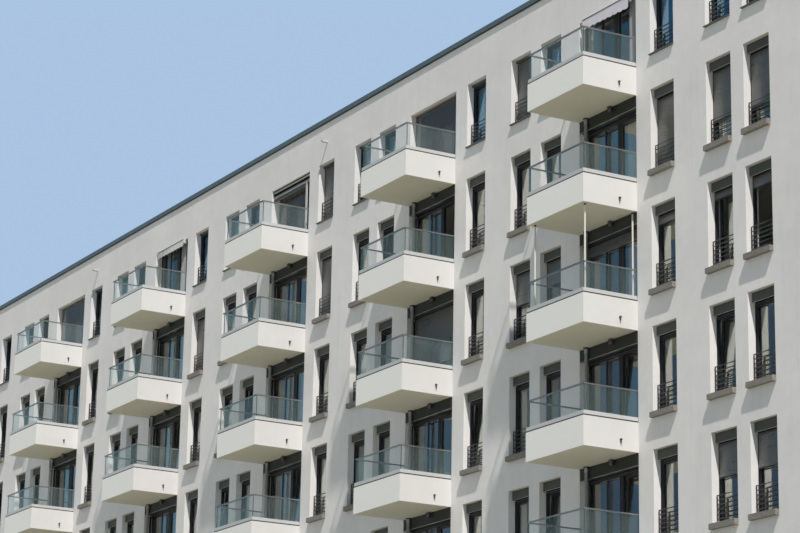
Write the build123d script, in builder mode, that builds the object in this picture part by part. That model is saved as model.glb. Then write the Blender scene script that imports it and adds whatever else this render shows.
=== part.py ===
from build123d import *
import os

# Apartment block with a long front of nine storeys, as a 1:2 scale model in millimetres.
# Each size below is half of the real one. The front faces -Y, and X runs along it.
# The origin is on the ground, at the middle of the whole model's plan.

# Storeys, from the ground up
storeys = 9
storey_height = 1475
foot_height = 145
opening_height = 1105
top_head_drop = 129
parapet_height = 628

# The front's openings, from left to right in each bay
whole_bays = 5
bay_pier = 633
narrow_width = 476
pair_gap = 237
pair_to_balcony = 418
balcony_width = 1233
balcony_to_narrow = 296

# The back's windows and the block's depth
back_windows = 11
back_window_width = 950
block_depth = 6000
wall_thickness = 180

# Floors and roof
floor_drop = 70
floor_thickness = 125
roof_thickness = 150
roof_rise = 60

# Coping and sills
coping_height = 68
coping_overhang = 22
sill_thickness = 65
sill_projection = 55
top_sill_wall_height = 60
top_sill_thickness = 14
top_sill_projection = 30

# Balcony tray
balcony_depth = 776
fascia_height = 358
fascia_thickness = 60
balcony_floor_drop = 75

# Balcony rail: channel, glass and handrail
channel_inset = 4
channel_height = 62
channel_thickness = 44
glass_inset = 15
glass_thickness = 10
glass_joint = 2
rail_height = 392
rail_thickness = 16
rail_width = 22
wall_clearance = 0.3

# Downpipe, parapet spouts, and the awning fittings
pipe_radius = 20
pipe_offset = 185
pipe_standoff = 28
pipe_sides = 8
spout_radius = 20
spout_length = 95
spout_drop = 320
spout_bays = (0, 2, 4)
cassette_height = 60
cassette_depth = 60
cassette_standout = 30
cassette_inset = 110
valance_thickness = 4
valance_height = 170
awning_bays = (0, 3)
post_radius = 12
post_inset = 14
post_bay = 0
post_storey = 6

# Worked out from the sizes above
bay_pitch = bay_pier + 3 * narrow_width + pair_gap + pair_to_balcony + balcony_width + balcony_to_narrow
length = whole_bays * bay_pitch + 3 * bay_pier + 3 * narrow_width + pair_gap
front_y = (balcony_depth - block_depth - sill_projection) / 2
back_y = front_y + block_depth
inner_length = length - 2 * wall_thickness
inner_depth = block_depth - 2 * wall_thickness
mid_y = (front_y + back_y) / 2
top_storey = storeys - 1


def storey_base(storey):
    """Height of the band top that a storey's openings stand on. Storey 0 is at the ground."""
    return foot_height + storey * storey_height


def storey_head(storey):
    """Height of the top of a storey's openings."""
    if storey == top_storey:
        return storey_base(storey) + opening_height - top_head_drop
    return storey_base(storey) + opening_height


wall_top = storey_head(top_storey) + parapet_height


def front_openings():
    """Left edge, width and bay of each opening in a front storey. Bays count from the right."""
    x = -length / 2 + bay_pier
    found = [(x, narrow_width, "narrow", whole_bays)]
    x += narrow_width
    for bay in reversed(range(whole_bays)):
        x += bay_pier
        found.append((x, narrow_width, "narrow", bay))
        x += narrow_width + pair_gap
        found.append((x, narrow_width, "narrow", bay))
        x += narrow_width + pair_to_balcony
        found.append((x, balcony_width, "balcony", bay))
        x += balcony_width + balcony_to_narrow
        found.append((x, narrow_width, "narrow", bay))
        x += narrow_width
    x += bay_pier
    found.append((x, narrow_width, "narrow", -1))
    x += narrow_width + pair_gap
    found.append((x, narrow_width, "narrow", -1))
    return found


def back_openings():
    """Left edge and width of each opening in a back storey, evenly spaced."""
    pier = (length - back_windows * back_window_width) / (back_windows + 1)
    step = pier + back_window_width
    return [(-length / 2 + pier + step * i, back_window_width) for i in range(back_windows)]


def piers_between(openings):
    """Centre and width of each piece of wall beside the openings."""
    edges = [-length / 2]
    for left, width, *_ in openings:
        edges += [left, left + width]
    edges.append(length / 2)
    return [((a + b) / 2, b - a) for a, b in zip(edges[::2], edges[1::2])]


def band_heights():
    """Foot and top of each wall strip: under the first storey, between storeys, and the parapet."""
    feet = [0] + [storey_head(s) for s in range(storeys)]
    tops = [storey_base(s) for s in range(storeys)] + [wall_top]
    return list(zip(feet, tops))


def bands(wall_y):
    for foot, top in band_heights():
        with BuildSketch(Plane.XY.offset(foot)) as strip:
            with Locations((0, wall_y)):
                Rectangle(length, wall_thickness)
        extrude(strip.sketch, amount=top - foot)


def piers(openings, wall_y):
    for storey in range(storeys):
        foot = storey_base(storey)
        with BuildSketch(Plane.XY.offset(foot)) as plan:
            for centre, width in piers_between(openings):
                with Locations((centre, wall_y)):
                    Rectangle(width, wall_thickness)
        extrude(plan.sketch, amount=storey_head(storey) - foot)


narrow = [(x, w) for x, w, kind, bay in front_openings() if kind == "narrow"]
balconies = {bay: x for x, w, kind, bay in front_openings() if kind == "balcony"}
balcony_storeys = range(1, storeys)
front_wall_y = front_y + wall_thickness / 2
back_wall_y = back_y - wall_thickness / 2

# Front wall: strips between the window rows, and the piers between the windows
with BuildPart() as front_bands:
    bands(front_wall_y)
front_bands.part.label = "front_bands"

with BuildPart() as front_piers:
    piers(front_openings(), front_wall_y)
front_piers.part.label = "front_piers"

# Back wall
with BuildPart() as back_bands:
    bands(back_wall_y)
back_bands.part.label = "back_bands"

with BuildPart() as back_piers:
    piers(back_openings(), back_wall_y)
back_piers.part.label = "back_piers"


def end_wall(side):
    """A plain end wall between front and back, side -1 for left and 1 for right."""
    with BuildSketch(Plane.XY) as plan:
        with Locations((side * (length - wall_thickness) / 2, mid_y)):
            Rectangle(wall_thickness, inner_depth)
    extrude(plan.sketch, amount=wall_top)


with BuildPart() as left_end_wall:
    end_wall(-1)
left_end_wall.part.label = "left_end_wall"

with BuildPart() as right_end_wall:
    end_wall(1)
right_end_wall.part.label = "right_end_wall"


def slab(top, thickness):
    """A slab that fills the plan inside the four walls."""
    with BuildSketch(Plane.XY.offset(top - thickness)) as plan:
        with Locations((0, mid_y)):
            Rectangle(inner_length, inner_depth)
    extrude(plan.sketch, amount=thickness)


# Ground slab, the floor of each upper storey, and the flat roof behind the parapet
with BuildPart() as ground_slab:
    slab(storey_base(0) - floor_drop, storey_base(0) - floor_drop)
ground_slab.part.label = "ground_slab"

with BuildPart() as floor_slabs:
    for storey in range(1, storeys):
        slab(storey_base(storey) - floor_drop, floor_thickness)
floor_slabs.part.label = "floor_slabs"

with BuildPart() as roof_slab:
    slab(storey_head(top_storey) + roof_rise + roof_thickness, roof_thickness)
roof_slab.part.label = "roof_slab"

coping_width = wall_thickness + 2 * coping_overhang


def long_coping(wall_y):
    with BuildSketch(Plane.XY.offset(wall_top)) as plan:
        with Locations((0, wall_y)):
            Rectangle(length + 2 * coping_overhang, coping_width)
    extrude(plan.sketch, amount=coping_height)


def end_coping(side):
    with BuildSketch(Plane.XY.offset(wall_top)) as plan:
        with Locations((side * (length - wall_thickness) / 2, mid_y)):
            Rectangle(coping_width, inner_depth - 2 * coping_overhang)
    extrude(plan.sketch, amount=coping_height)


# Coping: a metal cap on the parapet, which stands out on both sides of the wall
with BuildPart() as front_coping:
    long_coping(front_wall_y)
front_coping.part.label = "front_coping"

with BuildPart() as back_coping:
    long_coping(back_wall_y)
back_coping.part.label = "back_coping"

with BuildPart() as left_coping:
    end_coping(-1)
left_coping.part.label = "left_coping"

with BuildPart() as right_coping:
    end_coping(1)
right_coping.part.label = "right_coping"


def sills(openings, foot, thickness, wall_y, out, projection):
    """Sills over the wall's thickness that stand out of its face. out is -1 at the front, 1 at the back."""
    with BuildSketch(Plane.XY.offset(foot)) as plan:
        for left, width in openings:
            with Locations((left + width / 2, wall_y + out * projection / 2)):
                Rectangle(width, wall_thickness + projection)
    extrude(plan.sketch, amount=thickness)


# Stone sills of the narrow windows, and flush ones of the ground storey's wide windows
with BuildPart() as window_sills:
    for storey in range(top_storey):
        sills(narrow, storey_base(storey), sill_thickness, front_wall_y, -1, sill_projection)
window_sills.part.label = "window_sills"

with BuildPart() as ground_window_sills:
    wide = [(x, balcony_width) for x in balconies.values()]
    sills(wide, storey_base(0), sill_thickness, front_wall_y, -1, 0)
ground_window_sills.part.label = "ground_window_sills"

# The top storey's windows stand on a low wall with a thin metal sill
with BuildPart() as top_sill_walls:
    sills(narrow, storey_base(top_storey), top_sill_wall_height, front_wall_y, -1, 0)
top_sill_walls.part.label = "top_sill_walls"

with BuildPart() as top_window_sills:
    top_sill_foot = storey_base(top_storey) + top_sill_wall_height
    sills(narrow, top_sill_foot, top_sill_thickness, front_wall_y, -1, top_sill_projection)
top_window_sills.part.label = "top_window_sills"

with BuildPart() as back_window_sills:
    for storey in range(storeys):
        sills(back_openings(), storey_base(storey), sill_thickness, back_wall_y, 1, sill_projection)
back_window_sills.part.label = "back_window_sills"

# Balconies: each tray is a floor inside a front fascia and two side fascias.
# A tray's top is level with the foot of its storey's openings.
tray_y = front_y - balcony_depth
floor_depth = balcony_depth - fascia_thickness


def balcony_rows(foot_above_base, height, shapes):
    """The same plan, drawn at every balcony and extruded: shapes(left edge) draws one balcony's."""
    for storey in balcony_storeys:
        with BuildSketch(Plane.XY.offset(storey_base(storey) + foot_above_base)) as plan:
            for left in balconies.values():
                shapes(left)
        extrude(plan.sketch, amount=height)


def floor_plan(left):
    with Locations((left + balcony_width / 2, front_y - floor_depth / 2)):
        Rectangle(balcony_width - 2 * fascia_thickness, floor_depth)


def front_fascia_plan(left):
    with Locations((left + balcony_width / 2, tray_y + fascia_thickness / 2)):
        Rectangle(balcony_width, fascia_thickness)


def side_fascia_plan(left):
    for x in (left + fascia_thickness / 2, left + balcony_width - fascia_thickness / 2):
        with Locations((x, front_y - floor_depth / 2)):
            Rectangle(fascia_thickness, floor_depth)


with BuildPart() as balcony_floors:
    balcony_rows(-fascia_height, fascia_height - balcony_floor_drop, floor_plan)
balcony_floors.part.label = "balcony_floors"

with BuildPart() as balcony_front_fascias:
    balcony_rows(-fascia_height, fascia_height, front_fascia_plan)
balcony_front_fascias.part.label = "balcony_front_fascias"

with BuildPart() as balcony_side_fascias:
    balcony_rows(-fascia_height, fascia_height, side_fascia_plan)
balcony_side_fascias.part.label = "balcony_side_fascias"


def rail_plan(left, inset, width):
    """A strip along the tray's three free edges, open towards the wall."""
    near = front_y - wall_clearance
    with BuildLine() as outline:
        Polyline(
            (left + inset, near),
            (left + inset, tray_y + inset),
            (left + balcony_width - inset, tray_y + inset),
            (left + balcony_width - inset, near),
            (left + balcony_width - inset - width, near),
            (left + balcony_width - inset - width, tray_y + inset + width),
            (left + inset + width, tray_y + inset + width),
            (left + inset + width, near),
            close=True,
        )
    make_face(outline.edges())


def channel_plan(left):
    rail_plan(left, channel_inset, channel_thickness)


def handrail_plan(left):
    rail_plan(left, glass_inset + (glass_thickness - rail_width) / 2, rail_width)


def front_glass_plan(left):
    with Locations((left + balcony_width / 2, tray_y + glass_inset + glass_thickness / 2)):
        Rectangle(balcony_width - 2 * glass_inset, glass_thickness)


def side_glass_plan(left):
    glass_front = tray_y + glass_inset + glass_thickness + glass_joint
    glass_back = front_y - glass_joint
    from_edge = glass_inset + glass_thickness / 2
    for x in (left + from_edge, left + balcony_width - from_edge):
        with Locations((x, (glass_front + glass_back) / 2)):
            Rectangle(glass_thickness, glass_back - glass_front)


glass_height = rail_height - rail_thickness - channel_height

with BuildPart() as balcony_channels:
    balcony_rows(0, channel_height, channel_plan)
balcony_channels.part.label = "balcony_channels"

with BuildPart() as balcony_front_glass:
    balcony_rows(channel_height, glass_height, front_glass_plan)
balcony_front_glass.part.label = "balcony_front_glass"

with BuildPart() as balcony_side_glass:
    balcony_rows(channel_height, glass_height, side_glass_plan)
balcony_side_glass.part.label = "balcony_side_glass"

with BuildPart() as balcony_handrails:
    balcony_rows(rail_height - rail_thickness, rail_thickness, handrail_plan)
balcony_handrails.part.label = "balcony_handrails"

# Downpipes: from each tray's underside to the floor of the tray below, and to the ground
with BuildPart() as downpipes:
    for storey in balcony_storeys:
        pipe_top = storey_base(storey) - fascia_height
        pipe_foot = 0 if storey == 1 else storey_base(storey - 1) - balcony_floor_drop
        with BuildSketch(Plane.XY.offset(pipe_foot)):
            for left in balconies.values():
                with Locations((left + pipe_offset, front_y - pipe_standoff)):
                    RegularPolygon(pipe_radius, pipe_sides)
        extrude(amount=pipe_top - pipe_foot)
downpipes.part.label = "downpipes"

# Overflow spouts through the parapet, over the middle of the right-hand window of every second bay
with BuildPart() as parapet_spouts:
    spout_z = wall_top - spout_drop
    with BuildSketch(Plane.XZ.offset(-front_y)):
        for bay in spout_bays:
            spout_x = balconies[bay] + balcony_width + balcony_to_narrow + narrow_width / 2
            with Locations((spout_x, spout_z)):
                RegularPolygon(spout_radius, pipe_sides)
    extrude(amount=spout_length)
parapet_spouts.part.label = "parapet_spouts"

# Awnings rolled up under the head of two top balcony openings, each with a valance on its front.
# A cassette is fixed to the head with its rear half, and its front half stands out of the wall.
head = storey_head(top_storey)
cassette_front = front_y - cassette_standout


def awning_plan(near, depth):
    """A strip in front of each awning's opening, from near towards the back."""
    for bay in awning_bays:
        with Locations((balconies[bay] + balcony_width / 2, near + depth / 2)):
            Rectangle(balcony_width - 2 * cassette_inset, depth)


with BuildPart() as awning_cassettes:
    with BuildSketch(Plane.XY.offset(head - cassette_height)):
        awning_plan(cassette_front, cassette_depth)
    extrude(amount=cassette_height)
awning_cassettes.part.label = "awning_cassettes"

with BuildPart() as awning_valances:
    with BuildSketch(Plane.XY.offset(head - valance_height)):
        awning_plan(cassette_front - valance_thickness, valance_thickness)
    extrude(amount=valance_height)
awning_valances.part.label = "awning_valances"

# Three thin posts between one balcony's floor and the tray above, inside its corners
with BuildPart() as balcony_posts:
    post_foot = storey_base(post_storey) - balcony_floor_drop
    post_top = storey_base(post_storey + 1) - fascia_height
    from_edge = fascia_thickness + post_inset
    post_left = balconies[post_bay] + from_edge
    post_right = balconies[post_bay] + balcony_width - from_edge
    with BuildSketch(Plane.XY.offset(post_foot)):
        with Locations(
            (post_left, tray_y + from_edge),
            (post_right, tray_y + from_edge),
            (post_right, front_y - post_inset),
        ):
            RegularPolygon(post_radius, pipe_sides)
    extrude(amount=post_top - post_foot)
balcony_posts.part.label = "balcony_posts"

os.makedirs("parts", exist_ok=True)
export_step(front_bands.part, "parts/front_bands.step")
export_step(front_piers.part, "parts/front_piers.step")
export_step(back_bands.part, "parts/back_bands.step")
export_step(back_piers.part, "parts/back_piers.step")
export_step(left_end_wall.part, "parts/left_end_wall.step")
export_step(right_end_wall.part, "parts/right_end_wall.step")
export_step(ground_slab.part, "parts/ground_slab.step")
export_step(floor_slabs.part, "parts/floor_slabs.step")
export_step(roof_slab.part, "parts/roof_slab.step")
export_step(front_coping.part, "parts/front_coping.step")
export_step(back_coping.part, "parts/back_coping.step")
export_step(left_coping.part, "parts/left_coping.step")
export_step(right_coping.part, "parts/right_coping.step")
export_step(window_sills.part, "parts/window_sills.step")
export_step(ground_window_sills.part, "parts/ground_window_sills.step")
export_step(top_sill_walls.part, "parts/top_sill_walls.step")
export_step(top_window_sills.part, "parts/top_window_sills.step")
export_step(back_window_sills.part, "parts/back_window_sills.step")
export_step(balcony_floors.part, "parts/balcony_floors.step")
export_step(balcony_front_fascias.part, "parts/balcony_front_fascias.step")
export_step(balcony_side_fascias.part, "parts/balcony_side_fascias.step")
export_step(balcony_channels.part, "parts/balcony_channels.step")
export_step(balcony_front_glass.part, "parts/balcony_front_glass.step")
export_step(balcony_side_glass.part, "parts/balcony_side_glass.step")
export_step(balcony_handrails.part, "parts/balcony_handrails.step")
export_step(downpipes.part, "parts/downpipes.step")
export_step(parapet_spouts.part, "parts/parapet_spouts.step")
export_step(awning_cassettes.part, "parts/awning_cassettes.step")
export_step(awning_valances.part, "parts/awning_valances.step")
export_step(balcony_posts.part, "parts/balcony_posts.step")
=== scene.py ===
import math
import random

import bmesh
import bpy
from mathutils import Matrix, Vector


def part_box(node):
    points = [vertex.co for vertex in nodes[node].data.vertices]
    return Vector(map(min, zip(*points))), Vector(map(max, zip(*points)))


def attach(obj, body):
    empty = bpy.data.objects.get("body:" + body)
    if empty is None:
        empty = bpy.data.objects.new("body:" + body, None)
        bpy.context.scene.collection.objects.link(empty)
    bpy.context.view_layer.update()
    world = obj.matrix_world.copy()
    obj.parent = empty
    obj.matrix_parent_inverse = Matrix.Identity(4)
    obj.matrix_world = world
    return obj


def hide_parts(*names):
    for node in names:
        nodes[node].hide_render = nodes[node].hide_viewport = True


# The looks of the apartment block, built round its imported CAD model, in metres at half scale.
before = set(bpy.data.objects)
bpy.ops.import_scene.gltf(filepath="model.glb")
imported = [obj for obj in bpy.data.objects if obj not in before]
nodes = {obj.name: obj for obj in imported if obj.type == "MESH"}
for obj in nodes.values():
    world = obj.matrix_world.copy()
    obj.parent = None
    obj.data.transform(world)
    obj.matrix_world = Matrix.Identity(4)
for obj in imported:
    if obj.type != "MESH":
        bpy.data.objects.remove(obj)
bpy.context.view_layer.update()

# Layout, with the same sizes as the CAD source
STOREYS, STOREY, FOOT = 9, 1.475, 0.145
TOP = STOREYS - 1
OPENING, TOP_DROP = 1.105, 0.129
NARROW, WIDE, BACK = 0.476, 1.233, 0.95
PITCH = 4.245
SILL, TOP_SILL = 0.065, 0.074
WALL = 0.18
FASCIA, FASCIA_WALL = 0.358, 0.06
TRAY_FLOOR = 0.075
CEILING, FLOOR_DROP = 0.175, 0.07
PIPE_X, PIPE_OUT = 0.185, 0.028
CASSETTE_INSET, CASSETTE_OUT = 0.11, 0.03

# Play between a piece and what it stands against
CLEAR = 0.0005

scene = bpy.context.scene


def add_object(name, data):
    made = bpy.data.objects.new(name, data)
    scene.collection.objects.link(made)
    return made


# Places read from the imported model
low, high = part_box("front_bands")
FRONT, LEFT_END, RIGHT_END = low.y, low.x, high.x
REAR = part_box("back_bands")[1].y
low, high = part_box("balcony_front_fascias")
TRAY, BALCONIES = low.y, [high.x - WIDE - PITCH * bay for bay in range(5)]

# Narrow windows: left edge, bay and column. Bays count from the right, and -1 is the last pair.
# TO_A, TO_B and TO_C lead from a balcony's left edge to the columns beside it.
TO_A, TO_B, TO_C = -1.607, -0.894, 1.529
NARROW_WINDOWS = [(BALCONIES[4] - PITCH + TO_C, 5, "c")]
for bay, left in enumerate(BALCONIES):
    NARROW_WINDOWS += [(left + TO_A, bay, "a"), (left + TO_B, bay, "b"), (left + TO_C, bay, "c")]
LAST = BALCONIES[0] + PITCH
NARROW_WINDOWS += [(LAST + TO_A, -1, "a"), (LAST + TO_B, -1, "b")]

BACK_COUNT = 11
BACK_PIER = (RIGHT_END - LEFT_END - BACK_COUNT * BACK) / (BACK_COUNT + 1)
BACK_WINDOWS = [LEFT_END + BACK_PIER + (BACK_PIER + BACK) * i for i in range(BACK_COUNT)]


def base(storey):
    """Height of the lower edge of a storey's openings."""
    return FOOT + storey * STOREY


def head(storey):
    return base(storey) + OPENING - (TOP_DROP if storey == TOP else 0)


def sill_top(storey):
    return base(storey) + (TOP_SILL if storey == TOP else SILL)


def at(depth):
    """Y of a plane that far behind the front's face."""
    return FRONT + depth


def between(depths, shift=0.0):
    """The places along Y of a pair of depths."""
    return at(depths[0] + shift), at(depths[1] + shift)


# Camera, at the photo's viewing angle
CAMERA_PLACE, CAMERA_TURNS = (33.3997, -19.7479, 1.0024), (60.2522, 15.8177, 1.098)
yaw, pitch, roll = (math.radians(turn) for turn in CAMERA_TURNS)
forward = Vector((-math.sin(yaw) * math.cos(pitch), math.cos(yaw) * math.cos(pitch),
                  math.sin(pitch)))
level = Vector((math.cos(yaw), math.sin(yaw), 0))
above = level.cross(forward)
right = math.cos(roll) * level + math.sin(roll) * above
up = -math.sin(roll) * level + math.cos(roll) * above
camera_data = bpy.data.cameras.new("camera")
camera_data.lens, camera_data.sensor_width = 115.865, 36
camera_data.clip_end = 2000
camera = add_object("camera", camera_data)
turn = Matrix((right, up, -forward)).transposed()
camera.matrix_world = Matrix.Translation(CAMERA_PLACE) @ turn.to_4x4()
scene.camera = camera
scene.view_settings.view_transform = "Standard"
scene.cycles.transparent_max_bounces = 40


class Nodes:
    """A node tree, with short calls for the nodes that repeat."""

    def __init__(self, tree):
        self.tree = tree
        tree.nodes.clear()

    def add(self, kind, links=None, **values):
        node = self.tree.nodes.new("ShaderNode" + kind)
        for key, value in values.items():
            setattr(node, key, value)
        for socket, value in (links or {}).items():
            self.set(node.inputs[socket], value)
        return node

    def set(self, socket, value):
        if isinstance(value, bpy.types.NodeSocket):
            self.tree.links.new(value, socket)
        else:
            socket.default_value = value

    def math(self, operation, a, b=0.0, clamp=False):
        node = self.add("Math", operation=operation, use_clamp=clamp)
        self.set(node.inputs[0], a)
        self.set(node.inputs[1], b)
        return node.outputs[0]

    def plus(self, a, b):
        return self.math("ADD", a, b)

    def times(self, a, b):
        return self.math("MULTIPLY", a, b)

    def place(self, scale=(1, 1, 1)):
        where = self.add("TexCoord").outputs["Object"]
        return self.add("Mapping", {"Vector": where, "Scale": scale}).outputs[0]

    def noise(self, scale, detail=3.0, roughness=0.5, stretch=(1, 1, 1)):
        links = {"Vector": self.place(stretch), "Scale": scale, "Detail": detail,
                 "Roughness": roughness}
        return self.add("TexNoise", links).outputs["Fac"]

    def span(self, value, low, high, to_low=0.0, to_high=1.0):
        """A value's place between low and high, as a place between to_low and to_high."""
        links = {"Value": value, "From Min": low, "From Max": high, "To Min": to_low,
                 "To Max": to_high}
        return self.add("MapRange", links).outputs["Result"]

    def mix(self, factor, a, b):
        node = self.add("Mix", data_type="RGBA")
        self.set(node.inputs[0], factor)
        for i, tone in ((6, a), (7, b)):
            self.set(node.inputs[i], tone if isinstance(tone, bpy.types.NodeSocket) else (*tone, 1))
        return node.outputs[2]

    def geometry(self, name, letter=None):
        found = self.add("NewGeometry").outputs[name]
        if letter is None:
            return found
        return self.add("SeparateXYZ", {"Vector": found}).outputs[letter]

    def bump(self, height, strength, distance):
        links = {"Height": height, "Strength": strength, "Distance": distance}
        return self.add("Bump", links).outputs[0]

    def surface(self, **sockets):
        names = {key.replace("_", " "): value for key, value in sockets.items()}
        shader = self.add("BsdfPrincipled", names)
        self.add("OutputMaterial", {"Surface": shader.outputs[0]})


looks = {}


def material(name):
    """Starts a look, and gives its nodes."""
    made = looks[name] = bpy.data.materials.new(name)
    made.use_nodes = True
    return Nodes(made.node_tree)


SKIN, FACING = 0.002, -0.5


def render_coat(name, colour, grime, streaks, inner=None, under=None, ahead=None):
    """Painted render: fine grain, soft blotches, faint rain streaks and grime near the ground.

    inner, under and ahead are the tones within the walls, of undersides and of front faces. The
    underside tone is beige paint with a painted tint of the ground's light, and the lighter
    front-face tone is painted light."""
    n = material(name)
    blotch = n.span(n.noise(0.9, 4, 0.6), 0.35, 0.7)
    cloud = n.span(n.noise(5.5, 4, 0.65), 0.3, 0.75)
    streak = n.span(n.noise(3.2, 3, 0.7, (3.2, 3.2, 0.16)), 0.52, 0.8)
    fleck = n.span(n.noise(70, 2), 0.3, 0.75)
    low = n.span(n.geometry("Position", "Z"), 0.0, 0.5, 0.6, 0.0)
    dark = n.plus(n.times(blotch, 0.28), n.times(cloud, 0.22))
    dark = n.plus(dark, n.times(streak, streaks))
    dark = n.plus(dark, n.times(fleck, 0.12))
    dark = n.math("ADD", dark, n.times(low, cloud), clamp=True)
    tone = n.mix(dark, colour, grime)
    if inner:
        depth = n.geometry("Position", "Y")
        after = n.math("GREATER_THAN", depth, FRONT + WALL - SKIN)
        before = n.math("LESS_THAN", depth, REAR - WALL + SKIN)
        side = n.math("ABSOLUTE", n.geometry("Position", "X"))
        within = n.math("LESS_THAN", side, RIGHT_END - WALL + SKIN)
        inside = n.times(n.times(after, before), within)
        tone = n.mix(inside, tone, inner)
    # Front faces take a lighter tone: painted light, for the light that falls on them.
    if ahead:
        lit_front_mask = n.math("LESS_THAN", n.geometry("Normal", "Y"), FACING)
        tone = n.mix(lit_front_mask, tone, ahead)
    # Undersides take the soffit tone: beige paint, partly a painted tint of the light from the
    # ground.
    if under:
        under_tint_mask = n.math("LESS_THAN", n.geometry("Normal", "Z"), FACING)
        tone = n.mix(under_tint_mask, tone, under)
    grain = n.plus(n.noise(160, 3, 0.7), n.times(n.noise(24, 3), 0.6))
    rough = n.span(cloud, 0, 1, 0.82, 0.95)
    n.surface(Base_Color=tone, Roughness=rough, Specular_IOR_Level=0.25,
              Normal=n.bump(grain, 0.35, 0.003))


def speckled(name, colours, scale, rough, bump_scale, strength, distance):
    """Stone or concrete: three tones in grains over a slow change of tone."""
    n = material(name)
    grain = n.add("TexVoronoi", {"Vector": n.place(), "Scale": scale}).outputs["Color"]
    pick = n.add("SeparateColor", {"Color": grain}).outputs[0]
    slow = n.span(n.noise(2.5, 4), 0.3, 0.7)
    tone = n.mix(n.span(pick, 0.35, 0.6), colours[0], colours[1])
    tone = n.mix(n.times(slow, 0.45), tone, colours[2])
    height = n.plus(n.noise(bump_scale, 3, 0.6), n.times(pick, 0.2))
    n.surface(Base_Color=tone, Roughness=n.span(slow, 0, 1, rough - 0.08, rough + 0.05),
              Specular_IOR_Level=0.3, Normal=n.bump(height, strength, distance))


def metal(name, colour, worn, rough, metallic, brushed, specular):
    """Painted, powder-coated or bare metal with fine brushing and dull patches."""
    n = material(name)
    patch = n.span(n.noise(3.5, 4, 0.6), 0.35, 0.7)
    fine = n.noise(55, 2, 0.5, brushed)
    wear = n.span(n.geometry("Pointiness"), 0.52, 0.6)
    tone = n.mix(n.times(patch, 0.5), colour, worn)
    tone = n.mix(n.times(wear, 0.35), tone, worn)
    tone = n.mix(n.span(fine, 0.3, 0.8, 0, 0.18), tone, worn)
    ripple, dullness = n.span(fine, 0.3, 0.7, -0.05, 0.05), n.span(patch, 0, 1, rough, rough + 0.12)
    roughness = n.plus(ripple, dullness)
    n.surface(Base_Color=tone, Roughness=roughness, Metallic=metallic, Specular_IOR_Level=specular,
              Normal=n.bump(fine, 0.12, 0.001))


DUST = 0.02


def glass(name, colour, cloud_reflection_tone, plain, flat, vary, metallic, top=None):
    """A pane that mirrors more the flatter it is seen, each by its own amount, under thin dust.

    plain and flat are how much it mirrors from straight before it and from beside it, vary is how
    much its panes differ, the second tone is painted cloud reflections in slow patches, and top is
    the tone of the panes of the front's top storey, a painted reflection of what those panes
    mirror."""
    n = material(name)
    facing = n.add("LayerWeight", {"Blend": 0.5}).outputs["Facing"]
    mirror = n.span(n.math("POWER", facing, 5.0), 0, 1, plain, flat)
    pick = n.math("POWER", n.geometry("Random Per Island"), 3.0)
    film = n.times(pick, vary)
    dirt = n.span(n.noise(2.2, 4, 0.6, (1, 1, 0.35)), 0.35, 0.75, 0, DUST)
    alpha = n.math("ADD", n.plus(mirror, film), dirt, clamp=True)
    # Slow patches of the second tone over the pane's colour are painted cloud reflections.
    tone = n.mix(n.span(n.noise(1.1, 4, 0.6, (1, 1, 1.6)), 0.42, 0.62), colour, cloud_reflection_tone)
    # The front's top-storey panes take their own tone: a painted reflection of what they mirror.
    if top:
        high = n.math("GREATER_THAN", n.geometry("Position", "Z"), base(TOP))
        front = n.math("LESS_THAN", n.geometry("Position", "Y"), FRONT + WALL)
        tone = n.mix(n.times(high, front), tone, top)
    n.surface(Base_Color=tone, Metallic=metallic, Roughness=0.03, Alpha=alpha,
              Normal=n.bump(n.noise(1.6, 2), 0.06, 0.004))


def cloth(name, colour, shade, other=None, weave=260, stripe=None):
    """Woven cloth with threads both ways and slow changes of tone.

    other is a second tone that some sheets take. stripe is the colour, width and first place of
    stripes along X, and the length over which they fade."""
    n = material(name)
    where = n.add("TexCoord").outputs["Object"]
    threads = {"Vector": where, "Scale": weave * 0.16}
    wide = n.add("TexWave", threads, bands_direction="X").outputs["Fac"]
    tall = n.add("TexWave", threads, bands_direction="Z").outputs["Fac"]
    weft = n.times(wide, tall)
    soft = n.span(n.noise(6, 3), 0.3, 0.7)
    if other:
        colour = n.mix(n.geometry("Random Per Island"), colour, other)
    tone = n.mix(n.times(soft, 0.5), colour, shade)
    tone = n.mix(n.times(weft, 0.22), tone, shade)
    if stripe:
        dark, width, start, fade = stripe
        along = n.add("SeparateXYZ", {"Vector": where}).outputs["X"]
        band = n.math("FRACT", n.math("DIVIDE", n.math("SUBTRACT", along, start), width * 2))
        depth = n.span(along, start + fade * 0.3, start + fade, 0.9, 0.25)
        tone = n.mix(n.times(n.math("LESS_THAN", band, 0.5), depth), tone, dark)
    n.surface(Base_Color=tone, Roughness=n.span(soft, 0, 1, 0.78, 0.92), Sheen_Weight=0.15,
              Normal=n.bump(weft, 0.3, 0.0015))


# Materials
# The soffit tone is beige paint, partly a painted tint of the light bounced up from the ground.
ROOM, SOFFIT_PAINT_AND_BOUNCE = (0.84, 0.835, 0.77), (0.72, 0.715, 0.62)
render_coat("white_render", (0.83, 0.815, 0.82), (0.6, 0.6, 0.61), 0.22, inner=ROOM)
render_coat("balcony_white", (0.71, 0.705, 0.705), (0.58, 0.58, 0.58), 0.12, under=SOFFIT_PAINT_AND_BOUNCE,
            ahead=(0.88, 0.88, 0.87))
render_coat("soffit_paint_and_bounce", SOFFIT_PAINT_AND_BOUNCE, (0.64, 0.635, 0.56), 0.0)
render_coat("room_concrete", (0.76, 0.75, 0.69), (0.62, 0.61, 0.56), 0.0)
speckled("roofing", [(0.24, 0.24, 0.245), (0.31, 0.31, 0.31), (0.19, 0.19, 0.19)],
         scale=55, rough=0.9, bump_scale=90, strength=0.5, distance=0.004)
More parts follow.
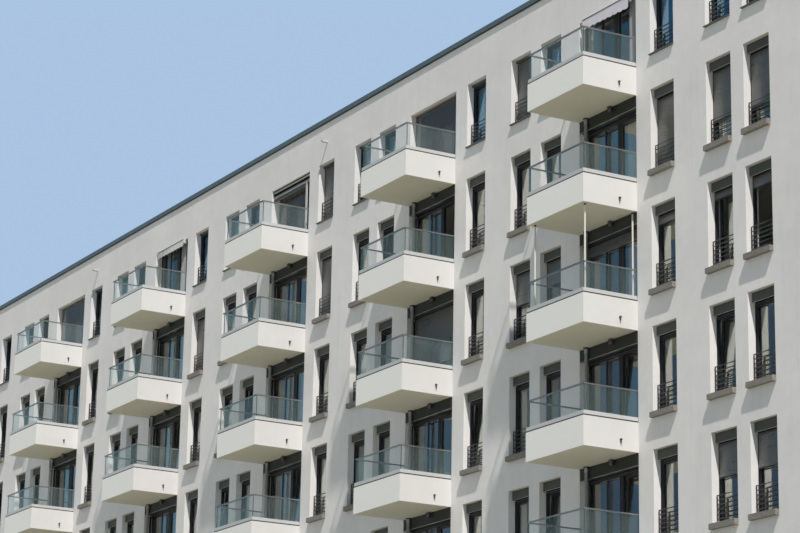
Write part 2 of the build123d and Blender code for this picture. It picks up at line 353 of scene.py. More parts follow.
speckled("sill_stone", [(0.19, 0.178, 0.16), (0.28, 0.262, 0.24), (0.165, 0.155, 0.142)],
         scale=95, rough=0.7, bump_scale=120, strength=0.2, distance=0.001)

ALONG_X, PROFILED, SOFT_X, SOFT_Z = (0.1, 2, 2), (0.08, 0.08, 3), (0.1, 1, 1), (1, 1, 0.2)
EVEN = (1, 1, 1)
# Metals and paints: colour, worn colour, roughness, metallic, brushing and specular level
METALS = {
    "coping_metal": ((0.095, 0.145, 0.165), (0.13, 0.18, 0.2), 0.42, 0.3, ALONG_X, 0.4),
    "sill_metal": ((0.1, 0.1, 0.1), (0.16, 0.16, 0.155), 0.4, 0.3, ALONG_X, 0.4),
    "channel_metal": ((0.61, 0.62, 0.63), (0.52, 0.53, 0.54), 0.45, 0.1, PROFILED, 0.5),
    "rail_metal": ((0.36, 0.375, 0.37), (0.29, 0.3, 0.3), 0.34, 0.9, PROFILED, 0.5),
    "steel": ((0.6, 0.61, 0.61), (0.48, 0.49, 0.49), 0.38, 0.35, PROFILED, 0.5),
    "pipe_metal": ((0.25, 0.255, 0.25), (0.19, 0.195, 0.19), 0.42, 0.4, (2, 2, 0.1), 0.5),
    "anthracite": ((0.012, 0.013, 0.015), (0.028, 0.029, 0.031), 0.4, 0.0, SOFT_Z, 0.3),
    "railing_black": ((0.03, 0.031, 0.031), (0.07, 0.07, 0.07), 0.42, 0.0, (0.3, 1, 1), 0.45),
    "box_dark": ((0.058, 0.062, 0.056), (0.08, 0.085, 0.077), 0.5, 0.0, SOFT_X, 0.25),
    "wide_box_dark": ((0.021, 0.026, 0.022), (0.03, 0.035, 0.03), 0.5, 0.0, SOFT_X, 0.2),
    "slat_grey": ((0.155, 0.158, 0.153), (0.2, 0.202, 0.196), 0.28, 0.45, SOFT_X, 0.5),
    "edge_grey": ((0.36, 0.355, 0.34), (0.28, 0.28, 0.27), 0.42, 0.2, SOFT_X, 0.4),
    "head_grey": ((0.105, 0.105, 0.1), (0.08, 0.08, 0.077), 0.45, 0.1, SOFT_X, 0.4),
    "post_white": ((0.72, 0.72, 0.69), (0.6, 0.6, 0.57), 0.45, 0.0, SOFT_Z, 0.45),
    "matt_black": ((0.006, 0.006, 0.006), (0.012, 0.012, 0.012), 0.85, 0.0, EVEN, 0.1),
    "gasket": ((0.015, 0.016, 0.017), (0.03, 0.03, 0.03), 0.7, 0.0, EVEN, 0.4),
    "awning_metal": ((0.68, 0.68, 0.65), (0.56, 0.56, 0.54), 0.4, 0.1, SOFT_X, 0.45),
    "deck_wood": ((0.27, 0.21, 0.16), (0.36, 0.31, 0.26), 0.75, 0.0, (0.15, 3, 3), 0.2),
}
for name, values in METALS.items():
    metal(name, *values)

glass("window_glass", (0.95, 1.0, 0.92), (1.0, 1.0, 0.96), plain=0.25, flat=0.9, vary=0.05,
      metallic=1.0, top=(0.36, 0.66, 0.9))
glass("door_glass", (0.93, 0.97, 0.93), (1.0, 1.0, 0.98), plain=0.34, flat=0.9, vary=0.06,
      metallic=1.0, top=(0.45, 0.5, 0.5))
glass("shade_glass", (0.155, 0.148, 0.145), (0.185, 0.175, 0.17), plain=0.62, flat=0.9,
      vary=0.0, metallic=0.3)
glass("rail_glass", (0.58, 0.8, 0.81), (0.64, 0.84, 0.85), plain=0.05, flat=1.0, vary=0.02,
      metallic=0.5)

cloth("curtain_cloth", (0.9, 0.89, 0.84), (0.78, 0.77, 0.71), other=(0.66, 0.66, 0.62))
cloth("valance_cloth", (0.72, 0.69, 0.76), (0.58, 0.55, 0.64), weave=300)
cloth("blue_cloth", (0.045, 0.052, 0.066), (0.065, 0.072, 0.088), weave=300)
cloth("drape_cloth", (0.34, 0.34, 0.35), (0.24, 0.24, 0.25), weave=280)
STRIPES = ((0.1, 0.1, 0.12), 0.028, BALCONIES[3] + CASSETTE_INSET + 0.01, 0.55)
cloth("striped_cloth", (0.76, 0.75, 0.76), (0.64, 0.63, 0.65), weave=300, stripe=STRIPES)

CAD_LOOKS = {
    "white_render": ("front_bands", "front_piers", "back_bands", "back_piers", "left_end_wall",
                     "right_end_wall", "top_sill_walls"),
    "balcony_white": ("balcony_front_fascias", "balcony_side_fascias"),
    "soffit_paint_and_bounce": ("balcony_floors",),
    "room_concrete": ("floor_slabs", "ground_slab"),
    "roofing": ("roof_slab",),
    "coping_metal": ("front_coping", "back_coping", "left_coping", "right_coping"),
    "sill_stone": ("window_sills", "ground_window_sills", "back_window_sills"),
    "sill_metal": ("top_window_sills",),
    "channel_metal": ("balcony_channels",),
    "rail_metal": ("balcony_handrails",),
    "rail_glass": ("balcony_front_glass", "balcony_side_glass"),
    "awning_metal": ("awning_cassettes",),
}
for look, names in CAD_LOOKS.items():
    for name in names:
        slots = nodes[name].data.materials
        slots.clear()
        slots.append(looks[look])


# Corners of a box's faces, the angle over which a smooth piece keeps an edge, and a sheet's rows
BOX_FACES = ((0, 2, 3, 1), (4, 5, 7, 6), (0, 1, 5, 4), (2, 6, 7, 3), (0, 4, 6, 2), (1, 3, 7, 5))
SHARP, SHEET_ROWS = math.radians(40), 6


class Shape:
    """Collects boxes, frames, bars, round forms and sheets into the mesh of one piece."""

    def __init__(self):
        self.points, self.faces = [], []

    def box(self, x0, x1, y0, y1, z0, z1):
        n = len(self.points)
        self.points += [(x, y, z) for z in (z0, z1) for y in (y0, y1) for x in (x0, x1)]
        for face in BOX_FACES:
            self.faces.append(tuple(n + i for i in face))

    def loops(self, rings, closed=False):
        """Joins rings of equally many points into a skin, with flat ends unless it closes."""
        n, m, count = len(self.points), len(rings[0]), len(rings)
        for ring in rings:
            self.points += ring
        for r in range(count if closed else count - 1):
            for i in range(m):
                j = (i + 1) % m
                a, b = n + r * m, n + ((r + 1) % count) * m
                self.faces.append((a + i, a + j, b + j, b + i))
        if not closed:
            self.faces.append(tuple(n + i for i in range(m)))
            self.faces.append(tuple(n + (count - 1) * m + i for i in range(m)))

    def ring(self, x0, x1, z0, z1, profile):
        """A mitred frame. profile is (inset, y) pairs."""
        corners = ((x0, 1, z0, 1), (x1, -1, z0, 1), (x1, -1, z1, -1), (x0, 1, z1, -1))
        self.loops([[(x + right * inset, y, z + up * inset) for inset, y in profile]
                    for x, right, z, up in corners], closed=True)

    def bar(self, x0, x1, profile):
        """A profile of (y, z) pairs along X."""
        self.loops([[(x, y, z) for y, z in profile] for x in (x0, x1)])

    def turned(self, start, axis, profile, sides=12):
        """A round form about an axis. profile is (distance along it, radius) pairs."""
        start, axis = Vector(start), Vector(axis)
        across = Vector((0, 1, 0)) if abs(axis.x) > 0.5 else Vector((1, 0, 0))
        a = axis.cross(across).normalized()
        b = axis.cross(a)
        turns = [math.tau * k / sides for k in range(sides)]
        spokes = [math.cos(t) * a + math.sin(t) * b for t in turns]
        self.loops([[tuple(start + axis * distance + radius * spoke) for spoke in spokes]
                    for distance, radius in profile])

    def sheet(self, across, point):
        """An open sheet. point gives a place from the shares of the way along it and down it."""
        n, m = len(self.points), across + 1
        for r in range(SHEET_ROWS + 1):
            self.points += [point(i / across, r / SHEET_ROWS) for i in range(m)]
        for r in range(SHEET_ROWS):
            for i in range(across):
                a = n + r * m + i
                self.faces.append((a, a + 1, a + m + 1, a + m))

    def piece(self, name, look, slot="dark_metal", replaces=(), smooth=False):
        mesh = bpy.data.meshes.new(name)
        mesh.from_pydata(self.points, [], self.faces)
        shell = bmesh.new()
        shell.from_mesh(mesh)
        bmesh.ops.recalc_face_normals(shell, faces=shell.faces)
        shell.to_mesh(mesh)
        shell.free()
        mesh.materials.append(looks[look])
        if smooth:
            mesh.shade_smooth()
            mesh.set_sharp_from_angle(angle=SHARP)
        made = add_object(name, mesh)
        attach(made, "root")
        if replaces:
            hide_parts(*replaces)
        return made


# The line about which open sashes turn, and the points along a curtain's fold
SASH_AXIS, FOLD_POINTS = FRONT + 0.145, 6


def tilted(point, foot, turn):
    """A point of a sash that is tilted into the room about its lower edge."""
    x, y, z = point
    dy, dz = y - SASH_AXIS, z - foot
    c, s = math.cos(turn), math.sin(turn)
    return (x, SASH_AXIS + dy * c + dz * s, foot + dz * c - dy * s)


def swung(point, hinge, turn):
    """A point of a sash that is swung into the room about a hinge at its right edge."""
    x, y, z = point
    dx, dy = x - hinge, y - SASH_AXIS
    c, s = math.cos(turn), math.sin(turn)
    return (hinge + dx * c + dy * s, SASH_AXIS - dx * s + dy * c, z)


class Curtains:
    """The hung sheets of one group, with one drop, joined into one piece."""

    def __init__(self, top, foot):
        self.shape, self.width, self.top, self.foot = Shape(), 0.0, top, foot

    def hang(self, top_span, foot_span, y, folds, cloth_width, phase):
        """A sheet between two spans along X. The rest of its width is in the folds."""

        def point(s, t):
            x0 = top_span[0] + (foot_span[0] - top_span[0]) * t
            x1 = top_span[1] + (foot_span[1] - top_span[1]) * t
            spare = math.sqrt(max(cloth_width ** 2 - (x1 - x0) ** 2, 0.0)) / (4 * folds)
            wave = math.sin(math.tau * folds * s + phase + 0.6 * t)
            wave += 0.25 * math.sin(8.3 * folds * s + phase * 2)
            z = self.top + (self.foot - self.top) * t
            return (x0 + (x1 - x0) * s, y + spare * 0.8 * wave, z)

        self.shape.sheet(folds * FOLD_POINTS, point)
        self.width += cloth_width

    def piece(self, name, look, rests_on):
        hung = self.shape.piece(name, look, "awning_fabric", smooth=True)


# How far below the head each blind of the front ends, and what stands open, in degrees
BLIND_DOWN = {
    (0, "c", 7): 1.0, (-1, "a", 7): 0.736, (-1, "b", 7): 0.78, (-1, "a", 4): 0.52,
    (-1, "b", 4): 0.525, (0, "c", 6): 0.24, (-1, "a", 6): 0.22, (-1, "b", 6): 0.265,
    (2, "c", 8): 0.95, (2, "c", 7): 0.98, (3, "c", 7): 0.98, (0, "a", 8): 0.9,
    (0, "a", 6): 0.55, (0, "b", 6): 0.45, (2, "c", 3): 0.6, (4, "a", 5): 0.98,
    (1, "c", 2): 0.5, (0, "b", 2): 0.98, (3, "a", 1): 0.7, (5, "c", 4): 0.98,
}
WIDE_DOWN = {(1, 6): 0.9, (0, 6): 0.3, (3, 4): 0.6, (2, 2): 0.98, (1, 3): 0.35}
FOLDED_DOWN, WIDE_FOLDED_DOWN = 0.148, 0.166
TILTED = {(1, "b", 7), (2, "a", 5), (0, "b", 4), (-1, "a", 5), (4, "c", 3), (2, "b", 6),
          (1, "c", 5)}
SASH_TILT, LEAF_TILT = 3.5, 4
SWUNG = {(-1, "a", 6): 6.5, (-1, "b", 6): 86, (3, "b", 4): 12}
LEAVES_TILTED = {(0, 5), (0, 4), (2, 5), (3, 6)}
LEAVES_SWUNG = {(1, 7): 80, (3, 3): 65}
SHADED_TOP = (1, 2, 4)
CUT_HEAD_TOP = (1, 4)

# Profiles of frames and sashes: pairs of inset from the opening's edge and depth in the wall
OUTER = [(0, 0.108), (0.013, 0.108), (0.016, 0.111), (0.016, 0.146), (0, 0.146)]
SASH = [(0.0165, 0.114), (0.028, 0.114), (0.032, 0.119), (0.032, 0.152), (0.0165, 0.152)]
DOOR_OUTER = [(0, 0.135), (0.016, 0.135), (0.02, 0.139), (0.02, 0.172), (0, 0.172)]
LEAF = [(0, 0.139), (0.022, 0.139), (0.028, 0.145), (0.028, 0.168), (0, 0.168)]
LEAF_EDGE = [(0, 0.1345), (0.009, 0.1345), (0.009, 0.1385), (0, 0.1385)]

# Depths behind the wall's face
PANE, DOOR_PANE, SHADE_PANE = (0.139, 0.143), (0.152, 0.156), (0.129, 0.132)
BLIND_Y, BLIND_REAR = 0.1, 0.106
WIDE_BLIND_Y, WIDE_GUIDES = 0.118, (0.088, 0.124)
BOX_SPACE, WIDE_BOX_SPACE = (0.052, 0.1455), (-0.004, 0.1715)
FILLER_FACE, WIDE_FILLER_FACE = 0.1075, 0.1255
CURTAIN, DOOR_CURTAIN, DOOR_RAIL = 0.185, 0.215, (0.203, 0.227)
TOP_SHIFT = -0.0475

# Other sizes of windows, blinds and railings
PANE_EDGE, LEAF_PANE_EDGE, PANE_LAP = 0.03, 0.025, 0.003
SASH_GAP, DOOR_GAP = 0.0165, 0.0205
NARROW_HEAD, TOP_HEAD, WIDE_HEAD = 0.135, 0.03, 0.15
NARROW_BOX, WIDE_BOX = 0.118, 0.14
BOX_LEFT, BOX_RIGHT, BOX_TOP, BOX_PLATE, BOX_EDGE = 0.013, 0.003, 0.008, 0.012, 0.003
THIN_POST, THICK_POST = (0.356, 0.386), (0.648, 0.724)
GUIDE, SLAT_PITCH, FOLDED_PITCH, BLIND_BAR = 0.008, 0.028, 0.008, 0.013
ROD_END, ROD_BELOW, ROD_RADIUS = 0.03, 0.03, 0.005
CURTAIN_BELOW, CURTAIN_FOOT = 0.035, 0.012
RAILING_Y, RAILING_BAR, RAILING_BARS = 0.064, 0.0055, 6
RAILING_TOP, RAILING_STEP = 0.395, 0.053
RAILING_POST, RAILING_BRACKET = (0.285, 0.006), 0.012

# Curtains of a narrow window: span at the top, span at the foot, folds and cloth width
DRAWN_BACK = [((0.38, 0.44), (0.18, 0.43), 5, 0.36)]
DRAWN = [((0.03, 0.44), (0.03, 0.44), 9, 0.6)]
PAIR = [((0.03, 0.12), (0.03, 0.15), 4, 0.24), ((0.33, 0.44), (0.3, 0.44), 4, 0.24)]
# Share of windows with curtains, and the shares of their kinds, added up
WITH_CURTAINS, UP_TO_DRAWN_BACK, UP_TO_DRAWN = 0.35, 0.6, 0.8
# Curtains of a wide opening: left edge, width and chance
DOOR_CURTAINS = ((0.02, 0.2, 0.3), (0.3, 0.3, 0.25), (0.74, 0.22, 0.4), (0.97, 0.25, 0.45))

frames, sashes, panes, door_panes, shade_panes, leaf_edges = (Shape() for _ in range(6))
boxes, wide_boxes, box_edges, head_strips = (Shape() for _ in range(4))
slats, slat_bars, guides, railings, rods = (Shape() for _ in range(5))


def frame_top(storey):
    return head(storey) - (TOP_HEAD if storey == TOP else NARROW_HEAD)


def in_wall(profile, shift=0.0):
    """A profile's depths as places along Y."""
    return [(inset, at(depth + shift)) for inset, depth in profile]


def open_up(starts, foot, tilt, hinge, swing):
    """Tilts or swings what each shape has taken up since its start, in degrees."""
    tilt, swing = math.radians(tilt), math.radians(swing)
    for shape, first in starts:
        if tilt:
            shape.points[first:] = [tilted(p, foot, tilt) for p in shape.points[first:]]
        if swing:
            shape.points[first:] = [swung(p, hinge, swing) for p in shape.points[first:]]


def blind_box(shape, left, width, top, height, space):
    """The plate before a folded blind, a lighter edge along its foot and the dark space behind it.
    The edge's lighter tone is partly a painted highlight, and the dark space also paints the shade
    in the gaps round the plate.

    space is the depth of the plate's face and of the space's rear."""
    y, foot, end = at(space[0]), top - height, left + width
    x0, x1 = left + BOX_LEFT, end - BOX_RIGHT
    plate_top, plate_foot, plate_rear = top - BOX_TOP, foot + 0.0035, y + BOX_PLATE
    shape.bar(x0, x1, [(y, plate_top), (y, plate_foot),
                       (plate_rear, plate_foot), (plate_rear, plate_top)])
    # The dark filler behind the plate paints the shade in the gaps round it.
    guides.box(left + CLEAR, end - CLEAR, y + 0.0125, at(space[1]), foot + 0.012, top - CLEAR)
    # The lighter edge along the foot is partly a painted highlight.
    box_edges.bar(x0, x1, [(y - 0.001, foot + BOX_EDGE), (y + 0.01, foot + BOX_EDGE),
                           (y + 0.01, foot), (y, foot)])


def head_filler(left, width, face, rear, low, high):
    """Closes the slit between a window frame and the dark space of the blind box above it."""
    guides.box(left + CLEAR, left + width - CLEAR, at(face), at(rear), low + 0.0002, high + 0.0118)


def blind(left, width, top, foot, depth):
    """Nearly closed slats from the box down to a bottom bar, between two guides."""
    x0, x1 = left + GUIDE + 0.002, left + width - GUIDE - 0.002
    y, rear = at(depth), at(depth) + BLIND_REAR - BLIND_Y
    z = top
    while z - SLAT_PITCH > foot + 0.016:
        slats.bar(x0, x1, [
            (y + 0.0005, z - SLAT_PITCH), (y + 0.0015, z - SLAT_PITCH - 0.001),
            (y + 0.004, z - SLAT_PITCH * 0.5), (rear - 0.0005, z),
            (rear - 0.0015, z + 0.001), (y + 0.0025, z - SLAT_PITCH * 0.5)])
        z -= SLAT_PITCH
    # Slats that lie on the bottom bar
    while z - FOLDED_PITCH > foot + 0.012:
        slats.bar(x0, x1, [(y, z - 0.005), (rear, z - 0.005), (rear, z), (y, z)])
        z -= FOLDED_PITCH
    slat_bars.bar(x0, x1, [(y - 0.002, foot), (rear, foot),
                           (rear, foot + BLIND_BAR), (y - 0.002, foot + BLIND_BAR)])


def blind_guides(left, width, top, foot, face, rear):
    for x in (left + CLEAR, left + width - GUIDE - CLEAR):
        guides.box(x, x + GUIDE, at(face), at(rear), foot, top)


def curtain_rod(left, width, y, z):
    """A rod behind an opening that bears on the wall at both sides of it."""
    rods.turned((left - ROD_END, y, z), (1, 0, 0),
                [(0, ROD_RADIUS), (width + 2 * ROD_END, ROD_RADIUS)], 8)


def railing(left, storey):
    """Six black bars, a post at each end with two brackets to the reveal, and a slim third post."""
    top, y, end = base(storey) + RAILING_TOP, at(RAILING_Y), left + NARROW
    low, high = top - RAILING_POST[0], top + RAILING_POST[1]
    railings.box(left + 0.05, left + 0.057, y - 0.007, y - 0.0035, low, high)
    for x, wall in ((left + 0.008, left), (end - 0.018, end)):
        railings.box(x, x + 0.01, y - RAILING_BAR, y + RAILING_BAR, low, high)
        near, far = sorted((x + 0.005, wall))
        for z in (top - 0.04, top - 0.24):
            railings.box(near, far, y - 0.004, y + 0.004, z, z + RAILING_BRACKET)
    for i in range(RAILING_BARS):
        z = top - RAILING_STEP * i
        railings.box(left + 0.01, end - 0.01, y - 0.003, y + 0.003,
                     z - RAILING_BAR, z + RAILING_BAR)


def narrow_window(left, bay, column, storey, curtains):
    key, luck = (bay, column, storey), random.Random(f"{bay} {column} {storey}")
    low, high, sash_top, end = sill_top(storey), head(storey), frame_top(storey), left + NARROW
    tilt, swing = SASH_TILT if key in TILTED else 0.0, SWUNG.get(key, 0.0)
    frames.ring(left + CLEAR, end - CLEAR, low, sash_top, in_wall(OUTER))
    starts = [(shape, len(shape.points)) for shape in (sashes, panes)]
    sashes.ring(left, end, low, sash_top, in_wall(SASH))
    panes.box(left + PANE_EDGE, end - PANE_EDGE, *between(PANE),
              low + PANE_EDGE, sash_top - PANE_EDGE)
    open_up(starts, low, tilt, end - 0.024, swing)
    if storey == TOP:
        head_strips.bar(left + 0.001, end - 0.001, [
            (at(0.07), high - CLEAR), (at(0.07), high - 0.028), (at(0.086), high - 0.032),
            (at(0.146), high - 0.0295), (at(0.146), high - CLEAR)])
    else:
        blind_box(boxes, left, NARROW, high, NARROW_BOX, BOX_SPACE)
        head_filler(left, NARROW, FILLER_FACE, BOX_SPACE[1], sash_top, high - NARROW_BOX)
    top = high - (0.034 if storey == TOP else NARROW_BOX + 0.004)
    blind_guides(left, NARROW, top, low, BLIND_Y, BLIND_REAR)
    down = BLIND_DOWN.get(key, FOLDED_DOWN if storey < TOP else 0)
    if down:
        blind(left, NARROW, top - 0.002, max(high - down, low + 0.002), BLIND_Y)
    railing(left, storey)
    if tilt or swing or down > 0.9 or luck.random() > WITH_CURTAINS:
        return
    curtain_rod(left, NARROW, at(CURTAIN), sash_top - ROD_BELOW)
    kind, phase = luck.random(), luck.uniform(0, math.tau)
    hung = DRAWN_BACK if kind < UP_TO_DRAWN_BACK else DRAWN if kind < UP_TO_DRAWN else PAIR
    for i, (head_span, foot_span, folds, cloth_width) in enumerate(hung):
        curtains.hang([left + x for x in head_span], [left + x for x in foot_span], at(CURTAIN),
                      folds, cloth_width, phase + i)


def wide_window(left, bay, storey, curtains):
    """Two fixed panes and a leaf, behind a balcony or in the ground storey."""
    luck = random.Random(f"{bay} wide {storey}")
    low, high, end = base(storey) + (SILL if storey == 0 else 0.0), head(storey), left + WIDE
    shift = TOP_SHIFT if storey == TOP and bay != 2 else 0.0
    frame_high = high - (CLEAR if storey == TOP else WIDE_HEAD)
    frames.ring(left + CLEAR, end - CLEAR, low, frame_high, in_wall(DOOR_OUTER, shift))
    foot, top = low + DOOR_GAP, frame_high - DOOR_GAP
    for (x0, x1), face in ((THIN_POST, 0.147), (THICK_POST, 0.1365)):
        frames.box(left + x0, left + x1, at(face + shift), at(0.17 + shift), foot, top)
    shaded = storey == TOP and bay in SHADED_TOP
    if shaded:
        shade_panes.box(left + 0.022, end - 0.022, *between(SHADE_PANE, shift), foot, top)
    for x0, x1 in ((DOOR_GAP, THIN_POST[0]), (THIN_POST[1], THICK_POST[0])):
        door_panes.box(left + x0 - PANE_LAP, left + x1 + PANE_LAP, *between(DOOR_PANE, shift),
                       foot - PANE_LAP, top + PANE_LAP)
    door_leaf(left, foot, top, bay, storey, shift)
    if storey < TOP:
        wide_blind(left, bay, storey, low, high, frame_high)
    elif bay in CUT_HEAD_TOP:
        for x0, x1 in ((0.004, WIDE / 2 - 0.002), (WIDE / 2 + 0.002, WIDE - 0.004)):
            box_edges.box(left + x0, left + x1, at(0.058), at(0.08), high - 0.016, high - CLEAR)
    ceiling = curtains.top
    rods.box(left - 0.05, end + 0.05, *between(DOOR_RAIL), ceiling + 0.001, ceiling + 0.013)
    if shaded:
        return
    leaf_open = (bay, storey) in LEAVES_TILTED or (bay, storey) in LEAVES_SWUNG
    for x, width, chance in DOOR_CURTAINS:
        phase = luck.uniform(0, math.tau)
        if luck.random() < chance and not (x > THICK_POST[1] and leaf_open):
            curtains.hang((left + x, left + x + width), (left + x, left + x + width * 1.08),
                          at(DOOR_CURTAIN), int(width / 0.05), width * 1.5, phase)


def door_leaf(left, foot, top, bay, storey, shift):
    """The leaf at the right of a wide opening, with its pane, light edge and handle."""
    x0, x1 = left + THICK_POST[1] + 0.001, left + WIDE - 0.0215
    starts = [(shape, len(shape.points)) for shape in (sashes, door_panes, leaf_edges)]
    sashes.ring(x0, x1, foot, top, in_wall(LEAF, shift))
    door_panes.box(x0 + LEAF_PANE_EDGE, x1 - LEAF_PANE_EDGE, *between(DOOR_PANE, shift),
                   foot + LEAF_PANE_EDGE, top - LEAF_PANE_EDGE)
    leaf_edges.ring(x0 + 0.01, x1 - 0.002, foot + 0.002, top - 0.002, in_wall(LEAF_EDGE, shift))
    x, y, z = x0 + 0.014, at(0.1385 + shift), foot + 0.47
    leaf_edges.box(x - 0.006, x + 0.006, y - 0.012, y, z, z + 0.06)
    tilt = LEAF_TILT if (bay, storey) in LEAVES_TILTED else 0.0
    open_up(starts, foot, tilt, x1, LEAVES_SWUNG.get((bay, storey), 0.0))


def wide_blind(left, bay, storey, low, high, frame_high):
    """The blind of a wide opening, its box, and the plate from the box up to the tray above."""
    (face, rear), box_foot = WIDE_BOX_SPACE, high - WIDE_BOX
    blind_box(wide_boxes, left, WIDE, high, WIDE_BOX, WIDE_BOX_SPACE)
    wide_boxes.box(left + 0.004, left + WIDE - 0.003, at(face), at(-CLEAR), high - 0.0078,
                   base(storey + 1) - FASCIA - CLEAR)
    head_filler(left, WIDE, WIDE_FILLER_FACE, rear, frame_high, box_foot)
    blind_guides(left, WIDE, box_foot - 0.004, low, *WIDE_GUIDES)
    down = WIDE_DOWN.get((bay, storey), WIDE_FOLDED_DOWN)
    blind(left, WIDE, box_foot - 0.005, max(high - down, low + 0.002), WIDE_BLIND_Y)


for storey in range(STOREYS):
    behind_windows = Curtains(frame_top(storey) - CURTAIN_BELOW,
                              sill_top(storey) + CURTAIN_FOOT)
    for left, bay, column in NARROW_WINDOWS:
        narrow_window(left, bay, column, storey, behind_windows)
    behind_windows.piece(f"window_curtains_{storey}", "curtain_cloth", "curtain_rods")
    ceiling = head(storey) + (0.045 if storey == TOP else CEILING - 0.012)
    behind_doors = Curtains(ceiling, base(storey) - FLOOR_DROP + CURTAIN_FOOT)
    for bay, left in enumerate(BALCONIES):
        wide_window(left, bay, storey, behind_doors)
    behind_doors.piece(f"door_curtains_{storey}", "curtain_cloth", "curtain_rods")

REAR_OUTER = [(inset, REAR - depth) for inset, depth in OUTER]
REAR_LEAF = [(inset - SASH[0][0], REAR - depth) for inset, depth in SASH]
REAR_POST, REAR_PANE_EDGE = 0.016, 0.0135


def back_window(left, index, storey, curtains):
    """Two leaves under a blind box, with up to two curtains."""
    luck = random.Random(f"back {index} {storey}")
    low, high, end = base(storey) + SILL, head(storey), left + BACK
    frame_high = high - NARROW_BOX
    frames.ring(left + CLEAR, end - CLEAR, low, frame_high, REAR_OUTER)
    middle = left + BACK / 2
    frames.box(middle - REAR_POST, middle + REAR_POST, REAR - 0.146, REAR - 0.108,
               low + REAR_POST, frame_high - REAR_POST)
    for near, far in ((left, middle), (middle, end)):
        x0, x1 = near + SASH_GAP, far - SASH_GAP
        sashes.ring(x0, x1, low + SASH_GAP, frame_high - SASH_GAP, REAR_LEAF)
        panes.box(x0 + REAR_PANE_EDGE, x1 - REAR_PANE_EDGE, REAR - PANE[1], REAR - PANE[0],
                  low + PANE_EDGE, frame_high - PANE_EDGE)
    x0, x1, box_foot = left + 0.001, end - 0.001, high - 0.1175
    boxes.box(x0, x1, REAR - 0.1455, REAR - 0.05, box_foot, high - CLEAR)
    # The lighter edge along the box's foot is partly a painted highlight, as at the front.
    box_edges.box(x0, x1, REAR - 0.0495, REAR - 0.047, box_foot, high - 0.114)
    curtain_rod(left, BACK, REAR - CURTAIN, frame_high - ROD_BELOW)
    for x, width in ((0.03, 0.28), (0.63, 0.28)):
        phase = luck.uniform(0, math.tau)
        if luck.random() < 0.6:
            span = (left + x, left + x + width)
            curtains.hang(span, span, REAR - CURTAIN, 6, width * 1.4, phase)


for storey in range(STOREYS):
    behind = Curtains(head(storey) - NARROW_BOX - CURTAIN_BELOW,
                      base(storey) + SILL + CURTAIN_FOOT)
    for index, left in enumerate(BACK_WINDOWS):
        back_window(left, index, storey, behind)
    behind.piece(f"back_curtains_{storey}", "curtain_cloth", "curtain_rods")

frames.piece("window_frames", "anthracite")
sashes.piece("window_sashes", "anthracite")
panes.piece("window_panes", "window_glass", "clear_glass")
door_panes.piece("door_panes", "door_glass", "clear_glass")
shade_panes.piece("top_door_panes", "shade_glass", "clear_glass")
boxes.piece("blind_boxes", "box_dark")
wide_boxes.piece("wide_blind_boxes", "wide_box_dark")
head_strips.piece("top_head_strips", "head_grey", "awning_metal")
box_edges.piece("blind_box_edges", "edge_grey", "awning_metal")
slats.piece("blind_slats", "slat_grey")
slat_bars.piece("blind_bars", "anthracite")
guides.piece("blind_guides", "anthracite")
railings.piece("window_railings", "railing_black")
rods.piece("curtain_rods", "steel", "rail_aluminium", smooth=True)
leaf_edges.piece("door_leaf_edges", "head_grey", "awning_metal")

# Balconies
pipes, collars, lamps, spouts, shade_strips, corners, decks = (Shape() for _ in range(7))
UP, DOWN, OUT = (0, 0, 1), (0, 0, -1), (1, 0, 0)
STRIP_INSET, STRIP, STRIP_HEIGHT = 0.001, 0.003, 0.015
BOARD, BOARD_GAP, BOARD_HEIGHT = 0.068, 0.004, 0.015
SEAL, SEAL_HEIGHTS = (0.026, 0.034), (0.046, 0.376)

# Round forms: pairs of distance along the axis and radius
PIPE_RADIUS = 0.0225
SLEEVE = [(0, 0.0272), (0.05, 0.0272), (0.054, 0.024)]
FLANGE = [(0, 0.036), (0.012, 0.036), (0.014, 0.03)]
PIPE_SHOE = [(BOARD_HEIGHT, 0.0275), (BOARD_HEIGHT + 0.01, 0.0265)]
SOFFIT_LAMP = [(0, 0.016), (0.014, 0.016), (0.015, 0.036), (0.027, 0.036), (0.029, 0.027),
               (0.066, 0.027), (0.072, 0.023)]
SPOUT_STUB, SPOUT_END = [(0, 0.014), (0.02, 0.014)], [(0, 0.008), (0.048, 0.008)]
LAMP_X, LAMP_OUT, SPOUT_OUT, SPOUT_DOWN = 0.731, 0.041, 0.255, 0.232


